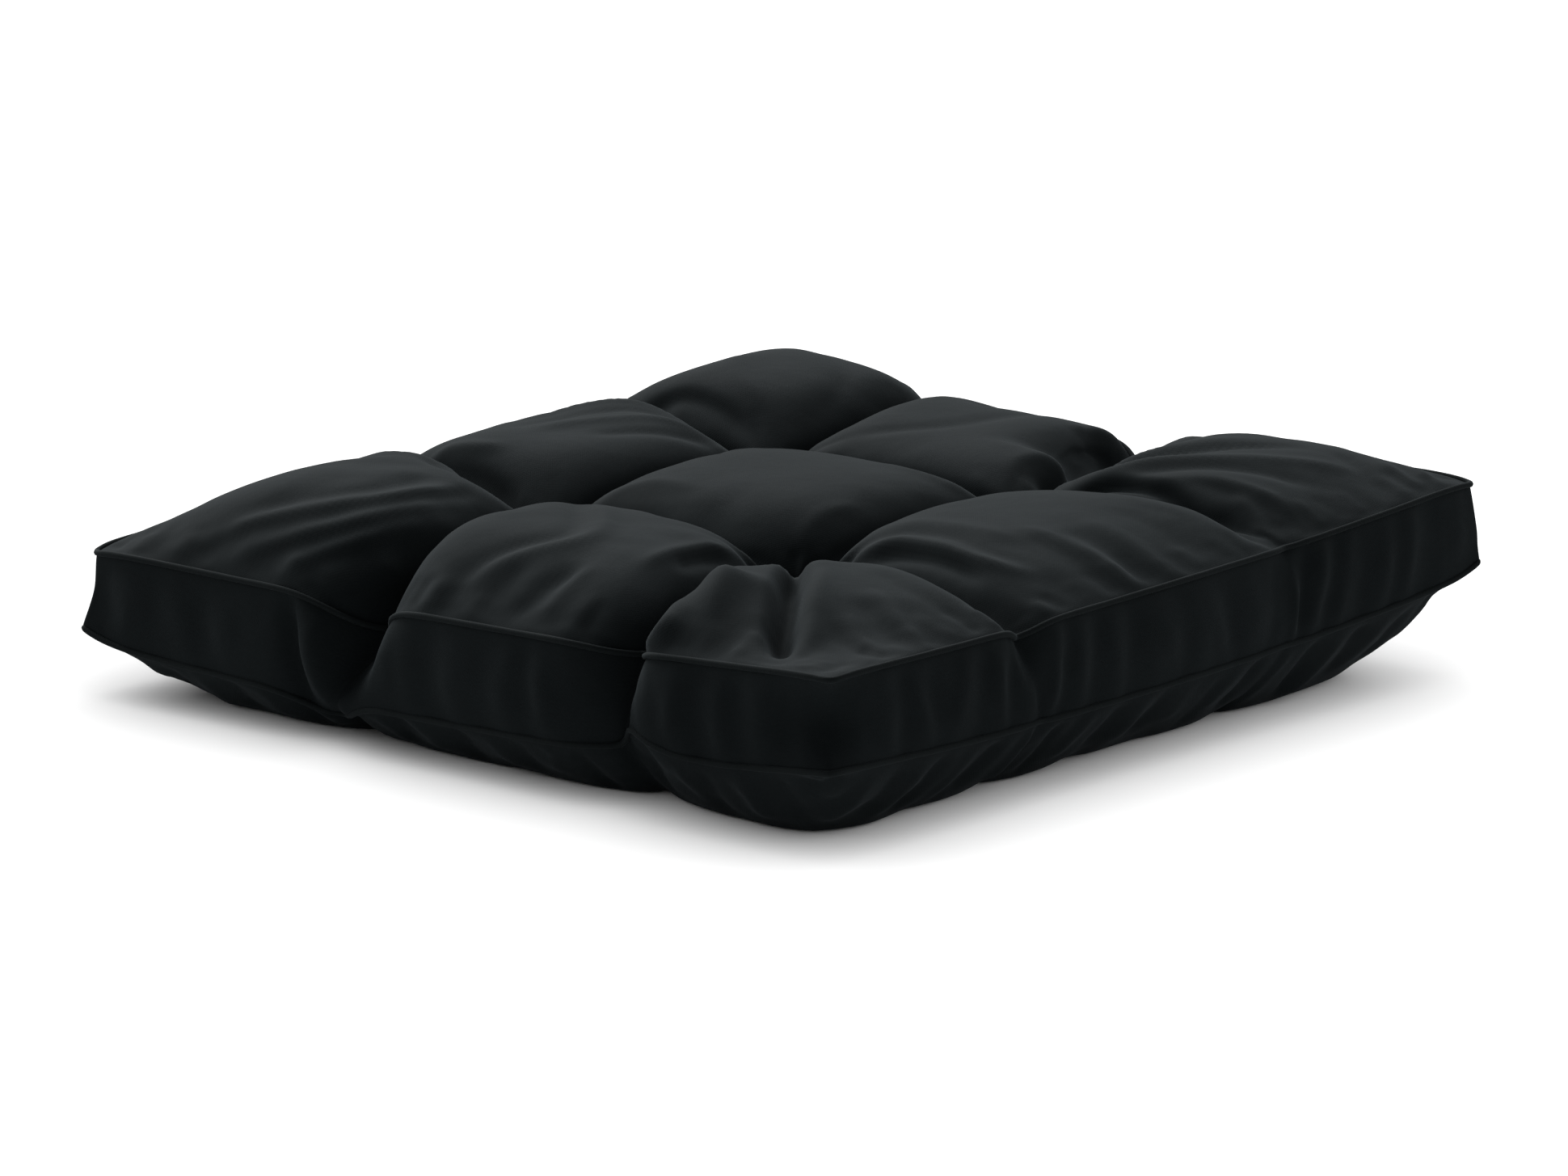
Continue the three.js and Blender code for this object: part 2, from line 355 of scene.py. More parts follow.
# The cloth is a little larger than the shape that it is sewn to, and the filling presses it out.
# Of what the simulation moves, only a share is kept, with a soft cap on it.
filling = {
    "seed": 7,
    "frames": 16,
    "pressure": 2.0,
    "slack": 0.035,
    "seedHeight": 0.0015,  # small uneven places that let the slack cloth buckle
    "seedWave": (0.024, 0.050),
    "seedWaves": 50,
    "seedOnBoxing": 0.3,
    "cap": 0.008,
    "wrinkleShare": 0.30,
    "evenShare": 0.2,  # the even swelling is what is left of the moves after so many rounds
    "evenRounds": 40,
    "stiffness": 60,
    "shear": 15,
    "bending": 0.1,
    "mass": 0.3,
    "damping": 2,
    "quality": 5,
    "tuftHold": 0.006,
}


def isSewn(place):
    onSeam = (np.abs(place[:, 2]) > rim) & (np.abs(place[:, :2]).max(1) > rim)
    toTuft = np.hypot(np.abs(place[:, 0]) - third, np.abs(place[:, 1]) - third) * cover["half"]
    return onSeam, (np.abs(place[:, 2]) > rim) & (toTuft < filling["tuftHold"])


def evenedOut(mesh, values, rounds):
    ends = np.empty(len(mesh.edges) * 2, "i")
    mesh.edges.foreach_get("vertices", ends)
    ends = ends.reshape(-1, 2)
    count = np.bincount(ends.ravel(), minlength=len(values))
    for _ in range(rounds):
        total = np.stack([
            np.bincount(ends[:, 0], column[ends[:, 1]], len(column))
            + np.bincount(ends[:, 1], column[ends[:, 0]], len(column)) for column in values.T
        ], -1)
        values = 0.5 * values + 0.5 * total / count[:, None]
    return values


def fillCover(piece):
    mesh = piece.data
    place, shape, outwards = readPlaces(mesh), readPoints(mesh), readPoints(mesh, "normal")
    uneven = np.random.default_rng(filling["seed"])
    wave = np.zeros(len(shape))
    for _ in range(filling["seedWaves"]):
        heading = uneven.normal(size=3)
        heading /= np.linalg.norm(heading) * uneven.uniform(*filling["seedWave"])
        wave += np.sin(2 * math.pi * (shape @ heading) + uneven.uniform(0, 2 * math.pi))
    onSeam, atTuft = isSewn(place)
    wave = np.where(onSeam | atTuft, 0, wave / np.abs(wave).max())
    wave[np.abs(place[:, 2]) < rim] *= filling["seedOnBoxing"]
    writePoints(mesh, shape + outwards * (wave * filling["seedHeight"])[:, None])
    sewn = piece.vertex_groups.new(name="sewn")
    sewn.add(np.where(onSeam | atTuft)[0].tolist(), 1.0, "REPLACE")
    cloth = piece.modifiers.new("filled", "CLOTH")
    cloth.point_cache.frame_start, cloth.point_cache.frame_end = 1, filling["frames"]
    cloth.collision_settings.use_collision = False
    settings = cloth.settings
    settings.quality = filling["quality"]
    settings.mass = filling["mass"]
    settings.tension_stiffness = settings.compression_stiffness = filling["stiffness"]
    settings.shear_stiffness = filling["shear"]
    settings.bending_stiffness = filling["bending"]
    for damping in ("tension_damping", "compression_damping", "shear_damping"):
        setattr(settings, damping, filling["damping"])
    settings.use_pressure = True
    settings.uniform_pressure_force = filling["pressure"]
    settings.effector_weights.gravity = 0
    settings.vertex_group_mass = "sewn"
    settings.shrink_min = -filling["slack"]
    for step in range(1, filling["frames"] + 1):
        scene.frame_set(step)
    filled = piece.evaluated_get(bpy.context.evaluated_depsgraph_get()).to_mesh()
    moved = readPoints(filled) - shape
    piece.to_mesh_clear()
    piece.modifiers.remove(cloth)
    piece.vertex_groups.clear()
    scene.frame_set(1)
    swelling = evenedOut(mesh, moved, filling["evenRounds"])
    moved = filling["wrinkleShare"] * (moved - swelling) + filling["evenShare"] * swelling
    length = np.linalg.norm(moved, axis=1, keepdims=True)
    cap = filling["cap"]
    shape += moved * cap * np.tanh(length / cap) / np.maximum(length, 1e-9)
    writePoints(mesh, shape)
    print("cover filled, the cloth moved by", round(length.mean() * 1000, 1), "mm before the cap")


fillCover(cushionCover)


# One subdivision gives the cloth its fine mesh, which the folds are then pressed into.
def refine(piece):
    finer = piece.modifiers.new("finer", "SUBSURF")
    finer.levels = finer.render_levels = 1
    finer.boundary_smooth = "PRESERVE_CORNERS"
    mesh = bpy.data.meshes.new_from_object(piece.evaluated_get(bpy.context.evaluated_depsgraph_get()))
    piece.modifiers.clear()
    rough = piece.data
    piece.data = mesh
    bpy.data.meshes.remove(rough)
    mesh.name = "cushion_cover"
    for face in mesh.polygons:
        face.use_smooth = True


refine(cushionCover)
print("cover refined:", len(cushionCover.data.polygons), "faces")


# Folds in the panels: each follows a line in plan (millimetres), stands out by "height"
# (a trough has a negative one) and is "width" from its middle to its side. More "power" gives it
# steeper sides, and it rises over the share "begins" of its length.
def fold(*path, height, width, power=1.6, begins=0.25):
    return {"path": path, "height": height, "width": width, "power": power, "begins": begins}


topFolds = [
    # left pillow at the back: long arcs from the tuft towards the left side
    fold((-125, 140), (-156, 127), (-203, 124), (-228, 131), (-248, 153), (-262, 181), (-281, 210),
         (-291, 232), height=3.4, width=7),
    fold((-140, 148), (-206, 141), (-232, 160), (-250, 190), (-262, 215), height=-2.2, width=8),
    fold((-130, 128), (-165, 119), (-210, 117), (-244, 136), (-262, 172), (-282, 203), (-291, 216),
         height=-2.8, width=7),
    fold((-150, 117), (-190, 111), (-236, 112), (-259, 132), (-275, 160), (-291, 190),
         height=2.8, width=6),
    fold((-199, 106), (-247, 112), (-266, 132), (-283, 165), height=-2.4, width=5),
    fold((-160, 104), (-197, 99), (-246, 103), (-270, 122), (-292, 148), height=3.0, width=5),
    fold((-210, 96), (-256, 104), (-272, 120), (-290, 134), height=-2.4, width=5),
    fold((-235, 92), (-264, 95), (-288, 108), height=1.8, width=5),
    fold((-112, 165), (-90, 190), (-84, 220), height=2.0, width=8),
    fold((-108, 130), (-125, 158), (-118, 190), height=-2.6, width=5),
    # left pillow of the middle row
    fold((-120, 60), (-170, 10), (-211, -22), (-234, -6), (-255, 6), (-282, 12), (-294, 12),
         height=-2.6, width=6),
    fold((-130, 30), (-180, -22), (-213, -40), (-242, -18), (-262, -4), (-294, 2), height=2.6, width=6),
    fold((-240, -62), (-256, -55), (-275, -48), (-291, -45), height=-3.4, width=7),
    fold((-240, -66), (-262, -66), (-280, -68), (-291, -68), height=2.4, width=6),
    fold((-250, -26), (-274, -22), (-292, -20), height=-2.0, width=5),
    fold((-262, -96), (-278, -99), (-290, -100), height=-1.6, width=5),
    fold((-272, 34), (-292, 32), height=-1.6, width=5),
    fold((-274, 20), (-292, 18), height=1.6, width=5),
    fold((-106, -72), (-98, -45), (-96, -10), (-92, 20), height=2.0, width=6),
    fold((-116, -74), (-112, -40), (-126, -10), height=-1.8, width=5),
    fold((-124, -84), (-155, -78), (-195, -86), (-234, -92), height=2.8, width=5),
    fold((-140, -86), (-175, -90), (-208, -99), height=-3.2, width=4.5),
    # left pillow at the front, nearest the camera: fine folds, then its broad valley between two lobes
    fold((-150, -106), (-190, -112), (-230, -140), (-258, -163), (-282, -182), height=-2.8, width=7),
    fold((-190, -102), (-234, -124), (-262, -142), (-284, -160), height=-1.8, width=5),
    fold((-140, -102), (-190, -130), (-238, -165), (-270, -185), (-291, -196), height=2.6, width=7),
    fold((-250, -150), (-272, -160), (-292, -167), height=2.0, width=5),
    fold((-262, -214), (-276, -214), (-292, -220), height=2.0, width=4.5),
    fold((-98, -98), (-130, -126), (-168, -160), height=-15, width=30, power=2, begins=0.02),
    fold((-294, -166), (-268, -162), (-238, -158), (-205, -152), height=8, width=20, power=2, begins=0.2),
    fold((-122, -117), (-150, -142), (-180, -168), (-200, -182), height=-7, width=4, power=2, begins=0.1),
    fold((-160, -150), (-187, -171), (-234, -206), (-266, -231), (-284, -244),
         height=-15, width=6.5, power=3, begins=0.35),
    fold((-180, -174), (-226, -207), (-258, -233), (-276, -246), height=-8, width=3.5, power=2),
    fold((-174, -182), (-221, -217), (-253, -242), (-271, -256), height=2.5, width=5),
    fold((-128, -138), (-170, -182), (-225, -230), (-262, -252), height=1.8, width=9),
    fold((-212, -236), (-229, -252), (-236, -272), (-243, -293), height=2.4, width=4.5),
    fold((-222, -238), (-240, -258), (-248, -290), height=-1.8, width=5),
    fold((-180, -224), (-200, -258), (-206, -280), (-204, -292), height=2.6, width=5),
    fold((-192, -228), (-214, -262), (-220, -290), height=-2.0, width=6),
    fold((-150, -200), (-165, -240), (-160, -285), height=-1.6, width=9),
    # the crease between the two front pillows on the left, and the lips on its far side
    fold((-88, -130), (-90, -173), (-94, -197), (-98, -222), (-106, -250),
         height=-4.5, width=4.5, power=2),
    fold((-92, -116), (-80, -145), (-80, -166), (-84, -191), (-90, -220), (-88, -247), (-70, -268),
         height=3.6, width=5.5),
    fold((-74, -120), (-68, -153), (-68, -178), (-70, -199), (-76, -234), (-62, -264),
         height=-1.6, width=4.5),
    fold((-58, -128), (-52, -160), (-52, -195), (-44, -232), height=1.8, width=9),
    # middle pillow of the front row
    fold((-30, -205), (-27, -243), (-22, -264), (-20, -285), (-22, -293), height=2.8, width=6),
    fold((-8, -225), (-5, -262), (-9, -283), (-12, -293), height=-2.4, width=7),
    fold((12, -220), (14, -255), (8, -290), height=1.8, width=8),
    fold((44, -215), (50, -250), (42, -290), height=-1.8, width=10),
    # the crease between the middle and the right pillow of the front row
    fold((108, -125), (121, -150), (122, -177), (120, -201), (106, -240), (102, -270), (106, -286),
         height=-8.0, width=4.5, power=2, begins=0.12),
    fold((136, -236), (129, -262), (110, -288), height=2.6, width=4.5),
    fold((126, -160), (133, -200), (135, -231), (134, -255), (128, -280), height=-2.2, width=8),
    # right pillow of the front row: long arcs from the tuft
    fold((118, -108), (136, -116), (150, -142), (168, -167), (197, -181), (223, -200), (238, -222),
         height=-4.2, width=3.5),
    fold((114, -100), (130, -104), (152, -128), (176, -152), (206, -166), (232, -184),
         height=2.6, width=7),
    fold((122, -126), (133, -140), (147, -160), (163, -189), (188, -216), (212, -240), (238, -262),
         height=2.6, width=6),
    fold((126, -146), (134, -166), (154, -200), (176, -237), (192, -272), height=-2.8, width=7),
    fold((120, -160), (126, -181), (140, -222), (148, -259), (147, -288), height=2.2, width=6),
    fold((248, -225), (232, -260), (228, -292), height=-1.8, width=7),
    fold((262, -250), (254, -275), (252, -293), height=1.8, width=5),
    fold((280, -262), (267, -283), height=2.0, width=5),
    # middle pillow at the back: fine arcs from the tuft on its right
    fold((101, 128), (104, 144), (112, 172), (114, 200), (104, 232), (76, 258), (40, 272),
         height=2.6, width=5),
    fold((94, 132), (100, 165), (98, 205), (72, 238), (30, 252), (-8, 255), height=-2.6, width=5),
    fold((90, 128), (92, 160), (84, 198), (52, 224), (8, 232), (-30, 226), height=2.6, width=5),
    fold((84, 124), (78, 160), (58, 190), (14, 206), (-30, 205), height=-2.4, width=5),
    fold((78, 120), (62, 150), (40, 168), (4, 184), (-30, 188), height=2.2, width=5),
    fold((74, 116), (50, 128), (22, 145), (-10, 156), height=-2.2, width=6),
    fold((-74, 232), (-62, 222), (-64, 198), (-58, 174), height=2.6, width=5),
    fold((-88, 252), (-78, 225), (-80, 195), (-84, 160), (-96, 125), height=-4.0, width=5, power=2),
    fold((-118, 240), (-112, 200), (-104, 165), height=2.2, width=7),
    # right pillow at the back
    fold((110, 120), (122, 150), (128, 185), (128, 215), (118, 250), height=-4.0, width=5, power=2),
    fold((134, 130), (150, 170), (182, 206), (216, 224), height=2.0, width=9),
    fold((150, 112), (190, 122), (236, 150), (262, 186), height=-1.8, width=10),
    fold((120, 106), (160, 100), (196, 108), (240, 104), height=2.0, width=7),
    # right pillow of the middle row
    fold((120, 70), (160, 30), (214, 16), (280, 22), height=-2.0, width=8),
    fold((118, -76), (150, -60), (190, -82), (240, -74), (288, -62), height=2.2, width=7),
    fold((128, -84), (174, -96), (222, -92), (262, -84), height=-2.6, width=7),
    fold((134, -100), (176, -116), (226, -118), (284, -112), height=-3.6, width=5, power=2),
    fold((170, -78), (230, -66), (298, -54), height=-11, width=26, power=2),
    fold((160, -46), (222, -44), (290, -32), height=-7, width=22, power=2),
    fold((130, -114), (180, -110), (228, -108), (280, -104), height=-9, width=28, power=2, begins=0.1),
    fold((240, 60), (292, 52), height=-2.0, width=6),
    fold((244, -20), (292, -28), height=2.0, width=6),
    fold((242, -40), (292, -46), height=-1.8, width=6),
    # middle pillow
    fold((-84, 84), (-60, 50), (-66, 10), height=1.6, width=7),
    fold((82, -86), (60, -60), (62, -20), height=1.6, width=7),
    fold((-84, -84), (-52, -72), (-20, -78), height=1.4, width=6),
    fold((84, 84), (54, 72), (20, 76), height=1.6, width=7),
]


# How strongly the folds and the boxing's ripples are pressed in, from where to where in its length a
# fold fades out, how near a seam it stops (metres), and how often the moves are evened out.
pressing = {"folds": 1.15, "ripples": 1.3, "fadeFrom": -0.02, "fadeTo": 0.25, "stopAtSeam": 0.005,
            "evenRounds": 2}


def smoothPath(path, rounds=3):
    path = np.array(path, float)
    for _ in range(rounds):
        cut = np.empty((2 * len(path) - 2, 2))
        cut[0::2] = mix(path[:-1], path[1:], 0.25)
        cut[1::2] = mix(path[:-1], path[1:], 0.75)
        path = np.vstack([path[:1], cut, path[-1:]])
    return path


def foldHeights(plan, folds):
    total = np.zeros(len(plan))
    for one in folds:
        path = smoothPath(one["path"]) * 0.001
        reach = one["width"] * 0.001
        low, high = path.min(0) - 3 * reach, path.max(0) + 3 * reach
        near = np.where(((plan > low) & (plan < high)).all(1))[0]
        if not len(near):
            continue
        points = plan[near]
        steps = np.linalg.norm(np.diff(path, axis=0), axis=1)
        passed = np.concatenate([[0], np.cumsum(steps)])
        away, share = np.full(len(near), np.inf), np.zeros(len(near))
        for i, step in enumerate(steps):
            heading = (path[i + 1] - path[i]) / step
            ahead = np.clip((points - path[i]) @ heading, 0, step)
            distance = np.linalg.norm(points - path[i] - ahead[:, None] * heading, axis=1)
            closer = distance < away
            away[closer] = distance[closer]
            share[closer] = ((passed[i] + ahead) / passed[-1])[closer]
        fade = easeIn(share, pressing["fadeFrom"], one["begins"])
        fade = fade * easeIn(1 - share, pressing["fadeFrom"], pressing["fadeTo"])
        height = one["height"] * 0.001 * pressing["folds"]
        total[near] += height * fade * np.exp(-(away / reach) ** one["power"])
    return total


# What no line above gives: short puckers along the seams, in millimetres. They are drawn from one
# seeded order, so they fall the same way every time.
puckers = {
    "seed": 31,
    "top": {"spacing": (13, 24), "length": (14, 34), "height": (0.5, 1.5), "lean": (-6, 6)},
    "bottom": {"spacing": (17, 30), "length": (26, 44), "height": (1.6, 3.6), "lean": (-16, 6)},
    "width": (4, 7.5),
    "from": -280,
    "to": 284,
    "rimAt": 294,
}
# Along each side that the photo shows: where a ripple of the boxing is at mid-height, how far its top
# leans along the side, how far it stands out and its width, all in millimetres.
boxingRipples = {
    "front": (
        (-268, 0, 1.2, 12), (-248, -4, 1.5, 8), (-235, 0, -1.6, 7), (-221, -12, 1.9, 6), (-209, 0, -1.5, 7),
        (-187, 6, 1.9, 6), (-168, 2, -2.0, 8), (-151, -6, 2.1, 6), (-138, 0, -2.2, 7), (-118, 4, 1.4, 8),
        (-101, 2, 2.2, 6), (-90, 4, -2.3, 7), (-77, -2, 1.9, 6), (-63, 0, -1.9, 6), (-47, -4, 1.6, 7),
        (-33, 0, -1.7, 6), (-14, -8, 1.3, 8), (0, -10, 1.8, 7), (18, -4, -1.4, 7), (31, -8, 1.0, 7),
        (46, -14, 2.0, 6), (60, -8, -1.8, 7), (80, -6, 1.0, 9), (101, 0, -1.5, 8), (119, -3, 3.4, 5),
        (130, 3, -3.0, 6), (142, 6, 1.8, 6), (155, 4, -1.6, 6), (166, 6, 1.7, 6), (184, 0, -1.5, 7),
        (204, 3, 1.7, 7), (216, 0, -1.2, 6), (227, 3, 1.7, 6), (247, 0, -1.6, 12), (276, 0, 1.0, 9),
    ),
    "left": (
        (281, 0, -1.6, 10), (258, 0, 1.1, 11), (238, -4, -1.2, 9), (216, 0, 1.2, 10), (196, -3, -1.5, 8),
        (176, -4, 1.2, 9), (125, 3, -7.0, 6), (100, 2, 18.0, 15), (48, 4, 1.8, 8),
        (30, 0, 1.5, 8), (10, 0, -2.0, 7), (-8, 2, 1.7, 8), (-30, 0, -1.7, 7), (-48, 0, 1.6, 7),
        (-64, 0, -1.7, 6), (-78, 6, 1.7, 7), (-180, -2, 1.8, 8), (-199, 0, -2.2, 9),
        (-216, 0, 1.7, 7), (-230, 0, -1.7, 7), (-247, -2, 1.6, 8), (-262, 0, -1.2, 7), (-278, 0, 0.8, 8),
    ),
}
hiddenRipples = {"seed": 12, "from": -282, "to": 284, "spacing": (12, 20), "lean": 8,
                 "height": (1.0, 2.3), "width": (5, 9)}
rippleShape = {"power": 1.8, "ends": 0.5}


# The ripples of the two sides that the photo doesn't show, from a seeded order too.
def ripplesUnseen(side):
    uneven = np.random.default_rng(hiddenRipples["seed"] + len(side))
    rows, at, sign = [], hiddenRipples["from"], 1
    while at < hiddenRipples["to"]:
        height = uneven.uniform(*hiddenRipples["height"])
        width = uneven.uniform(*hiddenRipples["width"])
        lean = uneven.uniform(-1, 1) * hiddenRipples["lean"]
        rows.append((at, lean, sign * height, width))
        at += uneven.uniform(*hiddenRipples["spacing"])
        sign = -sign
    return rows


def seamPuckers(panel):
    uneven = np.random.default_rng(puckers["seed"] + (panel == "bottom"))
    given, seamAt = puckers[panel], -puckers["rimAt"]
    rows = []
    for turn in range(4):
        at, sign = puckers["from"], -1
        while at < puckers["to"]:
            length = uneven.uniform(*given["length"])
            height = uneven.uniform(*given["height"]) * sign
            lean = uneven.uniform(*given["lean"])
            path = ((at, seamAt), (at + 0.4 * lean, seamAt + 0.5 * length), (at + lean, seamAt + length))
            for _ in range(turn):
                path = tuple((-y, x) for x, y in path)
            rows.append(fold(*path, height=height, width=uneven.uniform(*puckers["width"])))
            at += uneven.uniform(*given["spacing"])
            sign = -sign
    return rows


# Short folds that run out of each tuft like rays.
tuftRays = {"seed": 5, "count": 11, "from": 5, "length": (26, 58), "height": (0.5, 1.2),
            "width": (3.0, 5.0), "stray": 0.25}


def raysOfTufts(panel):
    uneven = np.random.default_rng(tuftRays["seed"] + (panel == "bottom"))
    tuftAt, stray = cover["tuftAt"] * 1000, tuftRays["stray"]
    rows = []
    for x, y in ((-tuftAt, -tuftAt), (tuftAt, -tuftAt), (-tuftAt, tuftAt), (tuftAt, tuftAt)):
        turn = uneven.uniform(0, 1)
        for i in range(tuftRays["count"]):
            heading = 2 * math.pi * (i + turn + uneven.uniform(-stray, stray)) / tuftRays["count"]
            length = uneven.uniform(*tuftRays["length"])
            bend = heading + uneven.uniform(-stray, stray)
            path = [(x + away * math.cos(angle), y + away * math.sin(angle)) for away, angle in
                    ((tuftRays["from"], heading), (0.5 * length, heading), (length, bend))]
            height = uneven.uniform(*tuftRays["height"]) * (-1 if i % 2 else 1)
            rows.append(fold(*path, height=height, width=uneven.uniform(*tuftRays["width"])))
    return rows


# The slits where two pillows press against each other.
slits = {"depth": 4.0, "width": 4.0, "power": 1.4, "runsTo": 0.96, "points": 25}


def creaseSlits(side):
    rows = []
    along = np.linspace(-slits["runsTo"], slits["runsTo"], slits["points"])
    for name, flip in (("frontToBack", False), ("leftToRight", True)):
        for crease in creases[name]:
            across = creaseLine(crease, along, side) * 1000
            path = [(y, x) if flip else (x, y) for x, y in zip(across, along * cover["half"] * 1000)]
            rows.append(fold(*path, height=-slits["depth"], width=slits["width"], power=slits["power"]))
    return rows


# The ripples go straight outwards on each side, most at mid-height.
def boxingMoves(place, shape):
    total = np.zeros((len(place), 3))
    up = (place[:, 2] + 1) / 2
    for name, axis, sign in (("front", 1, -1), ("right", 0, 1), ("back", 1, 1), ("left", 0, -1)):
        onSide = (place[:, axis] * sign > rim) & (up > 0) & (up < 1)
        along, level = shape[onSide, 1 - axis] * 1000, up[onSide]
        rows = boxingRipples[name] if name in boxingRipples else ripplesUnseen(name)
        sideTotal = np.zeros(len(along))
        for at, lean, height, width in rows:
            away = (along - at - lean * (2 * level - 1)) / width
            sideTotal += height * np.exp(-np.abs(away) ** rippleShape["power"])
        arch = np.sin(math.pi * level) ** rippleShape["ends"]
        total[onSide, axis] += sign * sideTotal * 0.001 * pressing["ripples"] * arch
    return total


def pressFolds(piece):
    mesh = piece.data
    place, shape = readPlaces(mesh), readPoints(mesh)
    inside = (1 - np.abs(place[:, :2]).max(1)) * cover["half"] / pressing["stopAtSeam"]
    heights = np.zeros(len(place))
    for panel, sign, drawn in (("top", 1, topFolds), ("bottom", -1, [])):
        onPanel = place[:, 2] * sign > rim
        folds = drawn + seamPuckers(panel) + raysOfTufts(panel) + creaseSlits(panel)
        heights[onPanel] = foldHeights(shape[onPanel, :2], folds)
    heights *= np.clip(inside, 0, 1)
    moves = readPoints(mesh, "normal") * heights[:, None] + boxingMoves(place, shape)
    shape += evenedOut(mesh, moves, pressing["evenRounds"])
    shape[:, 2] = onFloor(shape[:, 2])
    writePoints(mesh, shape)


pressFolds(cushionCover)
print("folds pressed in")


# Flat pattern of the cover in metres, for the weave: two square panels and four strips of boxing.
cutting = {"apart": 0.7, "halfStrip": 0.03, "stripAside": 0.1}


def layPattern(piece):
    mesh = piece.data
    place = readPlaces(mesh)
    corners = np.empty(len(mesh.loops), "i")
    mesh.loops.foreach_get("vertex_index", corners)
    perFace = place[corners].reshape(-1, 4, 3)
    pattern = np.zeros((len(perFace), 4, 2))
    half = cover["half"]
    flat = np.abs(perFace[:, :, 2]).min(1) > rim
    pattern[flat] = perFace[flat][:, :, :2] * half
    pattern[perFace[:, 0, 2] < -rim] += (0, cutting["apart"])
    for axis in (0, 1):
        onSide = ~flat & (np.abs(perFace[:, :, axis]).min(1) > rim)
        side = perFace[onSide]
        aside = cutting["stripAside"] * np.sign(side[:, :1, axis])
        pattern[onSide, :, 0] = side[:, :, 1 - axis] * half + cutting["apart"] * (1 + axis)
        pattern[onSide, :, 1] = side[:, :, 2] * cutting["halfStrip"] + aside
    layer = mesh.uv_layers.new(name="pattern")
    layer.uv.foreach_set("vector", pattern.astype("f").ravel())


layPattern(cushionCover)


# The pipings lie in the seams: a cord's line along each, a little uneven in thickness.
piping = {
    "radius": 0.0019,
    "proud": {1: 0.0013, -1: 0.0002},  # of the top and of the bottom seam
    "lineRounds": 6,
    "unevenness": 0.08,
    "unevenRounds": 6,
    "sides": 4,
    "weldAt": 0.00001,
    "seed": 3,
}


def seamRing(place, level):
    onSeam = np.where((place[:, 2] * level > rim) & (np.abs(place[:, :2]).max(1) > rim))[0]
    p, q = place[onSeam, 0], place[onSeam, 1]
    side = np.where(q < -rim, 0, np.where(p > rim, 1, np.where(q > rim, 2, 3)))
    side = np.where((side == 0) & (p > rim), 1, side)
    along = np.choose(side, (p, q, -p, -q))
    return onSeam[np.argsort(side * 3 + along)]


def layPiping(name, level):
    mesh = cushionCover.data
    ring = seamRing(readPlaces(mesh), level)
    shape, outwards = readPoints(mesh)[ring], readPoints(mesh, "normal")[ring] * (1, 1, 0)
    outwards /= np.linalg.norm(outwards, axis=1, keepdims=True)
    line = shape + outwards * piping["proud"][level]
    for _ in range(piping["lineRounds"]):
        line = 0.5 * line + 0.25 * (np.roll(line, 1, 0) + np.roll(line, -1, 0))
    uneven = np.random.default_rng(piping["seed"] + level)
    thick = uneven.normal(size=len(line))
    for _ in range(piping["unevenRounds"]):
        thick = (thick + np.roll(thick, 1) + np.roll(thick, -1)) / 3
    thick = 1 + piping["unevenness"] * thick / np.abs(thick).max()
    curve = bpy.data.curves.new(name, "CURVE")
    curve.dimensions = "3D"
    curve.bevel_depth = piping["radius"]
    curve.bevel_resolution = piping["sides"] - 2
    spline = curve.splines.new("POLY")
    spline.points.add(len(line) - 1)
    spline.points.foreach_set("co", np.c_[line, np.ones(len(line))].astype("f").ravel())
    spline.points.foreach_set("radius", thick.astype("f"))
    spline.use_cyclic_u = True
    wire = bpy.data.objects.new(name + "_line", curve)
    scene.collection.objects.link(wire)
    mesh = bpy.data.meshes.new_from_object(wire.evaluated_get(bpy.context.evaluated_depsgraph_get()))
    bpy.data.objects.remove(wire)
    bpy.data.curves.remove(curve)
    mesh.name = name
    bm = bmesh.new()
    bm.from_mesh(mesh)
    bmesh.ops.remove_doubles(bm, verts=bm.verts, dist=piping["weldAt"])
    bmesh.ops.recalc_face_normals(bm, faces=bm.faces)
    bm.to_mesh(mesh)
    bm.free()
    for face in mesh.polygons:
        face.use_smooth = True
    piece = bpy.data.objects.new(name, mesh)
    scene.collection.objects.link(piece)
    return piece


topPiping = layPiping("top_piping", 1)
bottomPiping = layPiping("bottom_piping", -1)
print("pipings laid:", len(topPiping.data.polygons), "faces each")


# One group gives every cloth its plain weave: threads over and under, with slightly uneven yarn.
weave = {
    "yarnPitch": 0.0009,
    "bump": 0.00012,
    "bumpStrength": 0.6,
    "overUnder": 0.5,
    "ridges": 0.25,
    "wobbleScale": 90,
    "wobble": 1.6,  # how far the yarns drift from straight, as an angle of their wave
    "slubStretch": (150, 450, 150),
    "slubDetail": 3,
}


def link(tree, start, finish):
    tree.links.new(start, finish)


def mathNode(tree, operation, first, second=None):
    node = tree.nodes.new("ShaderNodeMath")
    node.operation = operation
    for socket, value in zip(node.inputs, (first, second)):
        if isinstance(value, (int, float)):
            socket.default_value = value
        elif value is not None:
            link(tree, value, socket)
    return node.outputs[0]


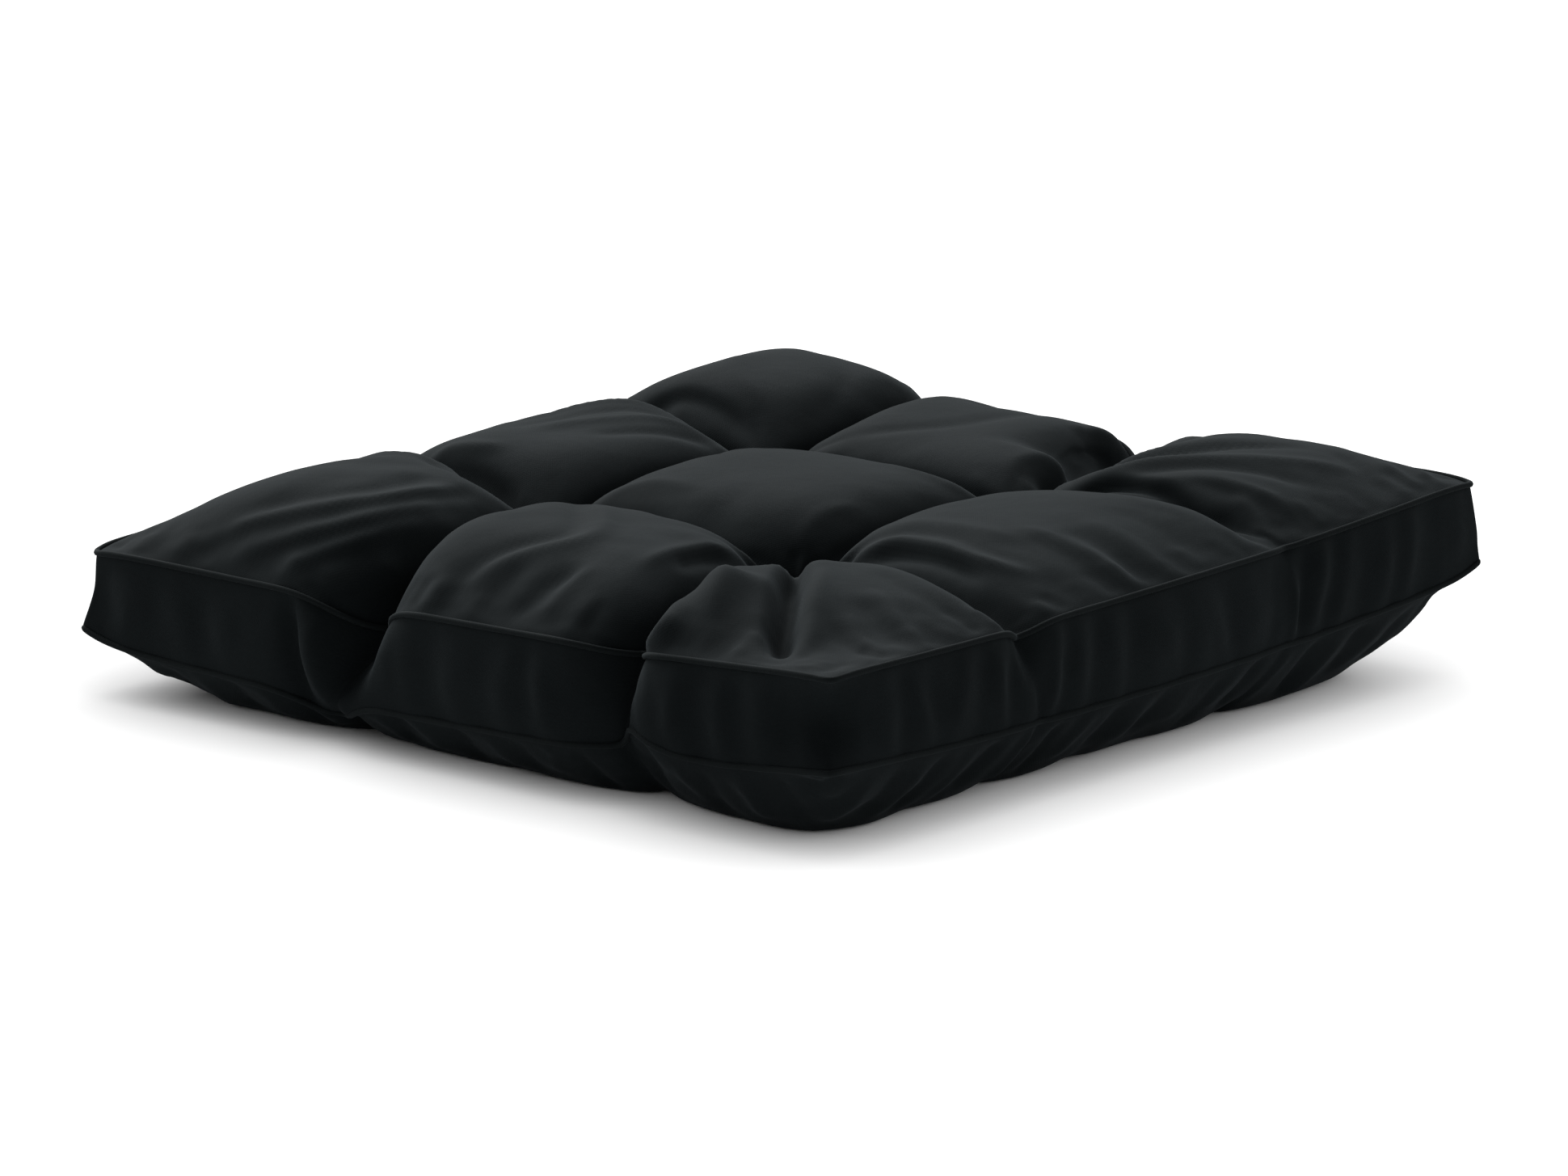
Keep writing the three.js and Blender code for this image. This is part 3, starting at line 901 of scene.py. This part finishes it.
def makeWeaveGroup():
    group = bpy.data.node_groups.new("plain weave", "ShaderNodeTree")
    interface = group.interface
    interface.new_socket("Place", in_out="INPUT", socket_type="NodeSocketVector")
    interface.new_socket("Yarn Pitch", in_out="INPUT", socket_type="NodeSocketFloat").default_value = 0.001
    interface.new_socket("Yarns", in_out="OUTPUT", socket_type="NodeSocketFloat")
    interface.new_socket("Slub", in_out="OUTPUT", socket_type="NodeSocketFloat")
    given = group.nodes.new("NodeGroupInput")
    result = group.nodes.new("NodeGroupOutput")
    wobble = group.nodes.new("ShaderNodeTexNoise")
    wobble.inputs["Scale"].default_value = weave["wobbleScale"]
    wobble.inputs["Detail"].default_value = 1
    link(group, given.outputs["Place"], wobble.inputs["Vector"])
    parts = group.nodes.new("ShaderNodeSeparateXYZ")
    link(group, given.outputs["Place"], parts.inputs[0])
    perYarn = mathNode(group, "DIVIDE", math.pi, given.outputs["Yarn Pitch"])
    drift = mathNode(group, "MULTIPLY", wobble.outputs["Fac"], weave["wobble"])
    waves = []
    for axis in ("X", "Y"):
        turned = mathNode(group, "ADD", mathNode(group, "MULTIPLY", parts.outputs[axis], perYarn), drift)
        waves.append(mathNode(group, "SINE", turned))
    warp, weft = (mathNode(group, "ABSOLUTE", wave) for wave in waves)
    overUnder = mathNode(group, "MULTIPLY", mathNode(group, "MULTIPLY", *waves), weave["overUnder"])
    ridges = mathNode(group, "MULTIPLY", mathNode(group, "ADD", warp, weft), weave["ridges"])
    link(group, mathNode(group, "ADD", overUnder, ridges), result.inputs["Yarns"])
    slub = group.nodes.new("ShaderNodeTexNoise")
    slub.inputs["Scale"].default_value = 1
    slub.inputs["Detail"].default_value = weave["slubDetail"]
    stretch = group.nodes.new("ShaderNodeVectorMath")
    stretch.operation = "MULTIPLY"
    stretch.inputs[1].default_value = weave["slubStretch"]
    link(group, given.outputs["Place"], stretch.inputs[0])
    link(group, stretch.outputs[0], slub.inputs["Vector"])
    link(group, slub.outputs["Fac"], result.inputs["Slub"])
    return group


weaveGroup = makeWeaveGroup()
cloths = {
    "cover_cloth": {"dark": (0.0150, 0.0190, 0.0205), "light": (0.0225, 0.0280, 0.0300),
                    "roughness": 0.85, "sheen": 0.08, "gloss": 0.05, "crumple": 0.0006},
    "piping_cloth": {"dark": (0.0160, 0.0200, 0.0210), "light": (0.0250, 0.0305, 0.0320),
                     "roughness": 0.82, "sheen": 0.08, "gloss": 0.05, "crumple": 0.0004},
}
# What both cloths share: a soft bluish sheen, cloudy patches of colour and a slight crumple.
clothFinish = {
    "sheenRoughness": 0.30,
    "sheenTint": (0.80, 0.92, 1.0, 1),
    "patchScale": 9,
    "patchDetail": 4,
    "patchShare": 0.8,
    "slubShare": 0.2,
    "darkBelow": 0.30,
    "lightAbove": 0.70,
    "crumpleScale": 70,
    "crumpleDetail": 3,
    "crumpleStrength": 0.5,
}


def noise(tree, spot, scale, detail):
    node = tree.nodes.new("ShaderNodeTexNoise")
    node.inputs["Scale"].default_value = scale
    node.inputs["Detail"].default_value = detail
    link(tree, spot, node.inputs["Vector"])
    return node.outputs["Fac"]


def bump(tree, height, distance, strength):
    node = tree.nodes.new("ShaderNodeBump")
    node.inputs["Distance"].default_value = distance
    node.inputs["Strength"].default_value = strength
    link(tree, height, node.inputs["Height"])
    return node


def makeCloth(name, pattern):
    given = cloths[name]
    material = bpy.data.materials.new(name)
    material.use_nodes = True
    tree = material.node_tree
    shader = tree.nodes["Principled BSDF"]
    shader.inputs["Roughness"].default_value = given["roughness"]
    shader.inputs["Specular IOR Level"].default_value = given["gloss"]
    shader.inputs["Sheen Weight"].default_value = given["sheen"]
    shader.inputs["Sheen Roughness"].default_value = clothFinish["sheenRoughness"]
    shader.inputs["Sheen Tint"].default_value = clothFinish["sheenTint"]
    inSpace = tree.nodes.new("ShaderNodeTexCoord").outputs["Object"]
    if pattern:
        place = tree.nodes.new("ShaderNodeUVMap")
        place.uv_map = pattern
        spot = place.outputs["UV"]
    else:
        spot = inSpace
    woven = tree.nodes.new("ShaderNodeGroup")
    woven.node_tree = weaveGroup
    woven.inputs["Yarn Pitch"].default_value = weave["yarnPitch"]
    link(tree, spot, woven.inputs["Place"])
    patches = noise(tree, inSpace, clothFinish["patchScale"], clothFinish["patchDetail"])
    clouds = mathNode(tree, "MULTIPLY", patches, clothFinish["patchShare"])
    slubs = mathNode(tree, "MULTIPLY", woven.outputs["Slub"], clothFinish["slubShare"])
    ramp = tree.nodes.new("ShaderNodeValToRGB")
    dark, light = ramp.color_ramp.elements
    dark.position = clothFinish["darkBelow"]
    dark.color = (*given["dark"], 1)
    light.position = clothFinish["lightAbove"]
    light.color = (*given["light"], 1)
    link(tree, mathNode(tree, "ADD", clouds, slubs), ramp.inputs[0])
    link(tree, ramp.outputs[0], shader.inputs["Base Color"])
    crumple = noise(tree, inSpace, clothFinish["crumpleScale"], clothFinish["crumpleDetail"])
    soft = bump(tree, crumple, given["crumple"], clothFinish["crumpleStrength"])
    fine = bump(tree, woven.outputs["Yarns"], weave["bump"], weave["bumpStrength"])
    link(tree, soft.outputs["Normal"], fine.inputs["Normal"])
    link(tree, fine.outputs["Normal"], shader.inputs["Normal"])
    return material


cushionCover.data.materials.clear()
cushionCover.data.materials.append(makeCloth("cover_cloth", "pattern"))
pipingCloth = makeCloth("piping_cloth", None)
for piece in (topPiping, bottomPiping):
    piece.data.materials.append(pipingCloth)
print("cloths made")


# A plain pale floor and a dim room. A wide soft light behind the cushion and two weak ones at its left
# and right shine on it alone, and a wider one over the floor makes that white. What the floor throws
# back onto the cushion is held down.
stage = {
    "floorHalf": 12,
    "floorShade": 0.90,
    "floorThrowsBack": 0.28,
    "room": 0.087,
    "softboxes": (
        {"name": "back_light", "from": (0.34, 0.66, 0.62), "power": 3.15, "angle": 55, "on": "cushion"},
        {"name": "left_light", "from": (-0.38, 0.80, 0.40), "power": 0.4, "angle": 35, "on": "cushion"},
        {"name": "right_light", "from": (0.80, -0.38, 0.40), "power": 0.45, "angle": 35, "on": "cushion"},
        {"name": "floor_light", "from": (0.12, -0.16, 1.0), "power": 4.6, "angle": 150, "on": "floor"},
    ),
}


def hangSoftbox(given, lit):
    light = bpy.data.lights.new(given["name"], "SUN")
    light.energy = given["power"]
    light.angle = math.radians(given["angle"])
    lamp = bpy.data.objects.new(given["name"], light)
    lamp.rotation_euler = Vector(given["from"]).to_track_quat("Z", "Y").to_euler()
    scene.collection.objects.link(lamp)
    chosen = bpy.data.collections.new("lit by " + given["name"])
    for piece in lit:
        chosen.objects.link(piece)
    lamp.light_linking.receiver_collection = chosen


def setStage():
    bm = bmesh.new()
    bmesh.ops.create_grid(bm, x_segments=1, y_segments=1, size=stage["floorHalf"])
    mesh = bpy.data.meshes.new("floor")
    bm.to_mesh(mesh)
    bm.free()
    floor = bpy.data.objects.new("floor", mesh)
    scene.collection.objects.link(floor)
    paint = bpy.data.materials.new("floor_paint")
    paint.use_nodes = True
    tree = paint.node_tree
    shader = tree.nodes["Principled BSDF"]
    rays = tree.nodes.new("ShaderNodeLightPath")
    tone = tree.nodes.new("ShaderNodeMix")
    tone.inputs["A"].default_value = stage["floorThrowsBack"]
    tone.inputs["B"].default_value = stage["floorShade"]
    link(tree, rays.outputs["Is Camera Ray"], tone.inputs["Factor"])
    link(tree, tone.outputs["Result"], shader.inputs["Base Color"])
    shader.inputs["Roughness"].default_value = 1.0
    shader.inputs["Specular IOR Level"].default_value = 0.0
    mesh.materials.append(paint)
    shinesOn = {"floor": [floor], "cushion": [cushionCover, topPiping, bottomPiping]}
    for given in stage["softboxes"]:
        hangSoftbox(given, shinesOn[given["on"]])
    room = bpy.data.worlds.new("room")
    room.use_nodes = True
    walls = room.node_tree.nodes["Background"]
    walls.inputs["Color"].default_value = (1, 1, 1, 1)
    walls.inputs["Strength"].default_value = stage["room"]
    scene.world = room
    scene.view_settings.view_transform = "Standard"
    return floor


setStage()
print("stage set")

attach(cushionCover, "root")
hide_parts("cushion")
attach(topPiping, "root")
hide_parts("piping_top")
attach(bottomPiping, "root")
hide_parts("piping_bottom")
